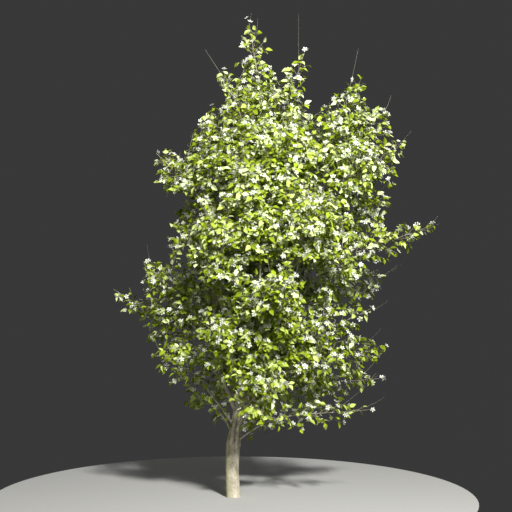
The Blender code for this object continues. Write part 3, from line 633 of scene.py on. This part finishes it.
class Mass:
    def __init__(self, name, number):
        self.space = spaces[name]
        self.start = self.space.bough.tangent(1) if self.space.bough else self.space.axis
        self.random = random.Random(seed + number)
        self.full = fullness.get(name, 1.0)
        self.leaves, self.blossoms, self.twigs = [], [], []
        self.bow, self.run = 1.0, self.space.length * stemSizes["run"]
        while self.bow > stemSizes["leastBow"] and not self.stemFits():
            self.bow *= stemSizes["straighten"]

    def stemFits(self):
        s = stemSizes
        places = [self.stemPoint(k / s["checks"]) for k in range(s["firstCheck"], s["checks"] + 1)]
        return all(self.space.holds(place) for place in places)

    def stemPoint(self, t):  # from straight to a curve that leaves along the bough
        root, axis = self.space.root, self.space.axis
        far = root + axis * self.run
        turn = root + self.start * self.run * stemSizes["leave"]
        straight = root + axis * self.run * t
        bent = (root * (1 - t)**3 + turn * 3 * t * (1 - t)**2
                + (far - axis * self.run * stemSizes["arrive"]) * 3 * t**2 * (1 - t) + far * t**3)
        return straight.lerp(bent, self.bow)

    def between(self, low, high):
        return self.random.uniform(low, high)

    def either(self, spread):
        return self.random.uniform(-spread, spread)

    def anyWay(self, spread):
        return Vector([self.either(spread) for _ in range(3)])

    def chance(self, share):
        return self.random.random() < share

    def addLine(self, point, steps, foot, tip):
        self.twigs.append([(point(k / steps), mix(foot, tip, k / steps)) for k in range(steps + 1)])

    def grow(self):
        s = twigSizes
        self.addLine(self.stemPoint, stemSizes["steps"], stemSizes["foot"], stemSizes["tip"])
        count = round(self.space.length / s["spacing"] * self.full)
        roll = self.between(0, 360)
        for index in range(count):
            t = mix(s["first"], s["last"], (index / (count - 1))**s["crowding"])
            ahead = slopeAt(self.stemPoint, t, stemSizes["slopeStep"])
            pitch = math.radians(mix(s["pitchFoot"], s["pitchTip"], t) + self.either(s["pitchSpread"]))
            roll += s["golden"]
            heading = ahead * math.cos(pitch) + acrossFrom(ahead, math.radians(roll)) * math.sin(pitch)
            foot = self.stemPoint(t)
            reach = self.space.freeRun(foot, heading, s["longest"])
            reach *= self.between(mix(s["fullFoot"], s["fullTip"], t), s["fullest"])
            if reach > s["shortest"]:
                self.growTwig(foot, heading, reach, mix(s["footRadius"], s["outerRadius"], t),
                              mix(s["bushyFoot"], s["bushyTip"], t))
        self.growRosette(self.stemPoint(1), self.space.axis)
        if self.space.bough:
            self.growShoots(self.space.bough)
        for _ in range(self.random.choice(whipSizes["counts"])):
            self.growWhip()

    def growShoots(self, bough):  # short leafy twigs straight from the bough
        s = shootSizes
        count = round(bough.length / s["spacing"])
        for index in range(count):
            t = mix(s["first"], s["last"], index / count)
            ahead = bough.tangent(t)
            across = acrossFrom(ahead, self.between(0, math.tau))
            heading = (ahead + across * self.between(*s["aside"]) + Vector((0, 0, s["lift"]))).normalized()
            self.growTwig(bough.centre(t), heading, self.between(*s["length"]), s["radius"], s["bushy"])

    def growWhip(self):  # a long shoot past the leaves, bare towards its tip
        s = whipSizes
        t = self.between(*s["start"])
        axis = self.space.axis
        across = acrossFrom(axis, self.between(0, math.tau))
        heading = (axis + across * self.between(*s["aside"])).normalized()
        foot = self.stemPoint(t)
        length = min(self.between(*s["length"]), (s["past"] - t) * self.space.length + s["extra"])
        bend = Vector((self.either(s["bend"]), self.either(s["bend"]), self.between(*s["lift"]))) * length
        while length > s["least"] and not inBox(foot + heading * length + bend):
            length *= s["shrink"]

        def point(t):
            return foot + heading * length * t + bend * t**2

        self.addLine(point, s["steps"], s["foot"], s["tip"])
        for k in range(s["leaves"]):
            place = point((k + 1) / s["leafParts"])
            if self.chance(s["leafShare"]):
                self.addLeaf(place, heading, self.random.choice((-1, 1)))
            elif self.chance(s["blossomShare"]):
                self.addBlossom(place, heading)

    def growTwig(self, foot, heading, reach, radius, bushy):
        s = twigSizes
        while reach > s["edge"] and not inBox(foot + heading * (reach + s["edge"])):
            reach *= s["shrink"]
        lift = Vector((0, 0, self.between(0.0, s["lift"]))) * reach
        bend = self.anyWay(s["bend"]) * reach

        def point(t):
            return foot + heading * reach * t + lift * t * t + bend * math.sin(math.pi * t)

        self.addLine(point, max(s["fewest"], round(reach / s["stepLength"])), radius, s["tipRadius"])
        run, side = s["leafStart"], 1
        while run < reach:
            t = run / reach
            ahead = slopeAt(point, t, s["slopeStep"])
            if self.chance(bushy * mix(1, 1 - s["thinning"], t)):
                self.growSprig(point(t), ahead, side, radius)
            else:
                if self.chance(s["blossoms"]):
                    self.addBlossom(point(t), ahead)
                self.addLeaf(point(t), ahead, side)
            side = -side
            run += s["leafSpacing"] * self.between(*s["uneven"]) * mix(1, s["sparser"], t)
        self.growRosette(point(1), heading)

    def growSprig(self, foot, ahead, side, twigRadius):
        s = sprigSizes
        length = self.between(*s["length"])
        heading = Quaternion(self.skyward(ahead, s["loose"]),
                             math.radians(side * self.between(*s["turn"]))) @ ahead
        tip = foot + heading * length
        if not self.space.inCrown(tip):
            return self.addLeaf(foot, ahead, side)
        middle = foot.lerp(tip, 0.5) + Vector((0, 0, s["rise"]))
        self.twigs.append([(foot, max(s["least"], twigRadius * s["thickness"])), (middle, s["middleRadius"]),
                           (tip, s["tipRadius"])])
        self.addLeaf(middle, heading, side)
        if self.chance(s["secondShare"]):
            self.addLeaf(foot.lerp(tip, s["second"]), heading, -side)
        self.growRosette(tip, heading)

    def growRosette(self, tip, heading):  # blossoms with a leaf, or leaves alone
        s = rosetteSizes
        if self.chance(s["blossoming"]):
            for _ in range(self.random.choice(s["blossoms"])):
                self.addBlossom(tip, heading)
            self.addLeaf(tip, heading, self.random.choice((-1, 1)))
        else:
            for side in self.random.choice(s["leaves"]):
                self.addLeaf(tip, heading, side)

    def skyward(self, along, loose):
        return squareTo(along, Vector((self.either(loose), self.either(loose), 1)))

    def outward(self, root, along):  # leaves turn their faces out of the crown
        s = leafSizes
        spot = Vector((root.x - crownHeart["centre"][0], root.y, 0))
        away = spot.normalized() * self.between(*s["outward"])
        loose = Vector((self.either(s["tumble"]), self.either(s["tumble"]), s["skyward"]))
        return squareTo(along, away + loose)

    def addLeaf(self, root, ahead, side):
        s = leafSizes
        up = self.skyward(ahead, s["loose"])
        spread = math.radians(side * self.between(*s["turn"]) + self.either(s["wobble"]))
        along = Quaternion(up, spread) @ ahead
        along = (along + Vector((0, 0, self.between(*s["droop"])))).normalized()
        up = self.outward(root, along)
        size = self.between(*s["size"])
        tip = root + along * s["length"] * size
        if self.space.inCrown(root.lerp(tip, s["held"])):
            turn = Matrix((along.cross(up), along, up)).transposed().to_euler()
            self.leaves.append((tuple(root), tuple(turn), size))

    def addBlossom(self, tip, heading):
        s = blossomSizes
        out = (heading * s["ahead"] + self.anyWay(s["tumble"]) + Vector((0, 0, s["skyward"]))).normalized()
        place = tip + out * self.between(*s["stalk"])
        size = self.between(*s["size"])
        if self.space.inCrown(place + out * s["held"]):
            side = acrossFrom(out, self.between(0, math.tau))
            turn = Matrix((side, out.cross(side), out)).transposed().to_euler()
            self.blossoms.append((tuple(place), tuple(turn), size))


masses = {}
for number, name in enumerate(branches):
    masses[name] = Mass(name, number)
    masses[name].grow()
print("grown", sum(len(mass.leaves) for mass in masses.values()), "leaves",
      sum(len(mass.blossoms) for mass in masses.values()), "blossoms",
      sum(len(mass.twigs) for mass in masses.values()), "twigs")

# leaf colours from darkest to palest: the leaves' own greens and pale undersides, with painted shade in the
# darkest and painted light in the palest
leafLook = dict(stops=[(0.0, (0.05, 0.075, 0.003)), (0.35, (0.16, 0.215, 0.004)),
                       (0.60, (0.25, 0.325, 0.010)), (0.80, (0.42, 0.50, 0.16)), (1.0, (0.62, 0.69, 0.38))],
                attribute="shade", roughness=0.50, specular=0.25, glow=(0.42, 0.52, 0.05, 1), seeThrough=0.07,
                rows=[(0, 0, 0), (0.14, 0.012, 0), (0.30, 0.20, 0.02), (0.52, 0.265, 0.0),
                      (0.78, 0.15, -0.05)],
                fold=0.32, tipDrop=-0.12)
blossomLook = dict(stops=[(0.0, (0.76, 0.78, 0.75)), (0.38, (0.68, 0.72, 0.50)), (1.0, (0.50, 0.53, 0.10))],
                   attribute="tone", roughness=0.55, specular=0.5, glow=(0.85, 0.88, 0.80, 1), seeThrough=0.3,
                   petals=5, centreTone=0.35, eye=0.11, eyeLow=0.06, eyeHigh=0.12,
                   outline=[(-0.42, 0.24, 0.04), (-0.40, 0.40, 0.10), (-0.14, 0.52, 0.13)])
twigTone = dict(light=(0.40, 0.36, 0.28), dark=(0.16, 0.13, 0.09), scale=90)


def leafShape():  # a leaf of length 1 along y, folded up at its midrib
    points, faces = [], []
    for y, wide, drop in leafLook["rows"]:
        edge = drop + wide * leafLook["fold"]
        points += [(-wide, y, edge), (0, y, drop), (wide, y, edge)]
    points.append((0, 1.0, leafLook["tipDrop"]))
    for row in range(1, 4):
        a = 3 * row
        faces += [(a, a + 1, a + 4, a + 3), (a + 1, a + 2, a + 5, a + 4)]
    faces += [(12, 13, 15), (13, 14, 15), (1, 5, 4), (1, 4, 3)]
    return newObject("leafShape", points, faces)


def blossomShape():  # petals round a raised eye, of width 1 in all
    look = blossomLook
    half = look["outline"]
    whole = half + [(-turn, out, lift) for turn, out, lift in reversed(half)]
    points, faces, tone = [(0, 0, 0)], [], [look["centreTone"]]
    for petal in range(look["petals"]):
        first = len(points)
        for turn, out, lift in whole:
            angle = math.tau * petal / look["petals"] + turn
            points.append((out * math.cos(angle), out * math.sin(angle), lift))
            tone.append(0.0)
        faces += [(0, first + k, first + k + 1) for k in range(len(whole) - 1)]
    heart = len(points)
    for spoke in range(look["petals"]):
        angle = math.tau * (spoke + 0.5) / look["petals"]
        points.append((look["eye"] * math.cos(angle), look["eye"] * math.sin(angle), look["eyeLow"]))
        tone.append(1.0)
    points.append((0, 0, look["eyeHigh"]))
    tone.append(1.0)
    faces += [(heart + k, heart + (k + 1) % look["petals"], heart + look["petals"])
              for k in range(look["petals"])]
    thing = newObject("blossomShape", points, faces)
    setAttribute(thing, "tone", "FLOAT", tone)
    return thing


scatter, scatterIds = scatterTree()
sweep, sweepIds = twigTree()
leafOne, blossomOne = leafShape(), blossomShape()
leafGreen, blossomWhite = thinMaterial("leaves", leafLook), thinMaterial("blossom", blossomLook)
twigBark = barkMaterial("twigs", **twigTone)
# the leaves grow paler with height as painted light, and each leaf is spread darker or lighter, partly its
# own tone and partly painted light and shade
shadeSizes = dict(low=0.46, high=0.58, level=1.9, paintedLightPerHeight=0.07, spray=6, sprayEase=0.12,
                  darker=-0.38, lighter=0.42)
groups = {
    "low": ["low_right", "right_skirt", "right_low", "left_low", "left_long", "left_skirt", "front_skirt",
            "front_low", "back_low"],
    "right": ["right_waist", "right_flank", "right_long", "right_side", "right_shoulder", "right_arc",
              "front_side"],
    "left": ["left_flank", "left_side", "left_arm", "front_flank", "back_side", "leader_left",
             "leader_front"],
    "high": ["leader_right", "leader_back", "front_waist", "front_crest", "back_flank", "back_heart",
             "back_crest", "left_crest", "mid_crest", "top"],
}


def dealShades(group):  # one tone a mass, eased spray by spray and leaf by leaf; the leaf-by-leaf spread is partly the leaves' own tone and partly painted light and shade, and painted light makes the leaves paler towards the top
    s = shadeSizes
    dice = random.Random(seed)
    shades = []
    for mass in group:
        # painted light: the higher a mass stands, the paler its leaves
        base = dice.uniform(s["low"], s["high"]) + (mass.space.root.z - s["level"]) * s["paintedLightPerHeight"]
        for index in range(len(mass.leaves)):
            if index % s["spray"] == 0:
                spray = base + dice.uniform(-s["sprayEase"], s["sprayEase"])
            # partly painted light and shade: each leaf a little darker or lighter, as if shaded or lit
            shades.append(min(1, max(0, spray + dice.uniform(s["darker"], s["lighter"]))))
    return shades


def scatterPiece(name, items, shape, length, material, shades=()):
    thing = newObject(name, [place for place, _, _ in items], [])
    setAttribute(thing, "turn", "FLOAT_VECTOR", [turn for _, turn, _ in items])
    setAttribute(thing, "size", "FLOAT", [size for _, _, size in items])
    if shades:
        setAttribute(thing, "shade", "FLOAT", shades)
    return runTree(thing, scatter, scatterIds, {"Shape": shape, "Length": length, "Material": material})


def twigPiece(name, group):
    points, edges, thick = [], [], []
    for mass in group:
        for line in mass.twigs:
            first = len(points)
            points += [place for place, _ in line]
            thick += [radius for _, radius in line]
            edges += [(first + k, first + k + 1) for k in range(len(line) - 1)]
    thing = newObject(name, points, [], edges)
    setAttribute(thing, "thickness", "FLOAT", thick)
    return runTree(thing, sweep, sweepIds, {"Sides": twigSizes["sides"], "Material": twigBark})


def makeFoliage(groupName, names):
    group = [masses[name] for name in names]
    nodes = [name + "_foliage" for name in names]
    leaves = scatterPiece("leaves_" + groupName, [item for mass in group for item in mass.leaves],
                          leafOne, leafSizes["length"], leafGreen, dealShades(group))
    blossoms = scatterPiece("blossoms_" + groupName, [item for mass in group for item in mass.blossoms],
                            blossomOne, blossomSizes["width"], blossomWhite)
    twigs = twigPiece("twigs_" + groupName, group)
    for piece in (leaves, blossoms, twigs):
        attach(piece, "root")
        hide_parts(*nodes)
        piece.data.calc_loop_triangles()
        print(piece.name, len(piece.data.loop_triangles), "triangles")


for groupName, names in groups.items():
    makeFoliage(groupName, names)
for shape in (leafOne, blossomOne):
    bpy.data.objects.remove(shape, do_unlink=True)

# Stage: floor, light and camera
stageSizes = dict(radius=2.3, sides=96, drop=-0.001, floor=(0.34, 0.34, 0.33, 1), roughness=0.9,
                  world=(0.040, 0.040, 0.041, 1))
lights = {
    "key": dict(place=(3.2, -7.9, 7.7), aim=(0.2, 0, 2.7), power=2750, size=0.9, colour=(1.0, 0.99, 0.96)),
    "fill": dict(place=(-3.0, -9.0, 3.5), aim=(0.2, 0, 2.4), power=110, size=4, colour=(1, 1, 1)),
    "back": dict(place=(-2.0, 7.0, 6.0), aim=(0.2, 0, 2.5), power=80, size=4, colour=(1, 1, 1)),
}
cameraView = dict(place=(0.2185, -11.5, 2.285), lens=85.1, sensor=36)  # level, along +Y


def makeFloor():
    s = stageSizes
    corners = [math.tau * k / s["sides"] for k in range(s["sides"])]
    floor = newObject("floor", [(s["radius"] * math.cos(angle), s["radius"] * math.sin(angle), s["drop"])
                                for angle in corners], [tuple(range(s["sides"]))])
    pale = Shader("floor")
    pale.set(colour=s["floor"], roughness=s["roughness"])
    floor.data.materials.append(pale.material)


def makeLights():
    world = bpy.data.worlds.new("world")
    bpy.context.scene.world = world
    world.use_nodes = True
    world.node_tree.nodes["Background"].inputs[0].default_value = stageSizes["world"]
    for name, look in lights.items():
        lamp = bpy.data.lights.new(name, "AREA")
        lamp.energy, lamp.size, lamp.color = look["power"], look["size"], look["colour"]
        thing = bpy.data.objects.new(name, lamp)
        thing.location = look["place"]
        aim = Vector(look["aim"]) - Vector(look["place"])
        thing.rotation_euler = aim.to_track_quat("-Z", "Y").to_euler()
        bpy.context.scene.collection.objects.link(thing)


def makeCamera():
    lens = bpy.data.cameras.new("camera")
    lens.lens, lens.sensor_width = cameraView["lens"], cameraView["sensor"]
    camera = bpy.data.objects.new("camera", lens)
    camera.location = cameraView["place"]
    camera.rotation_euler = (math.pi / 2, 0, 0)
    bpy.context.scene.collection.objects.link(camera)
    bpy.context.scene.camera = camera
    bpy.context.scene.view_settings.view_transform = "Standard"


makeFloor()
makeLights()
makeCamera()
print("stage done")
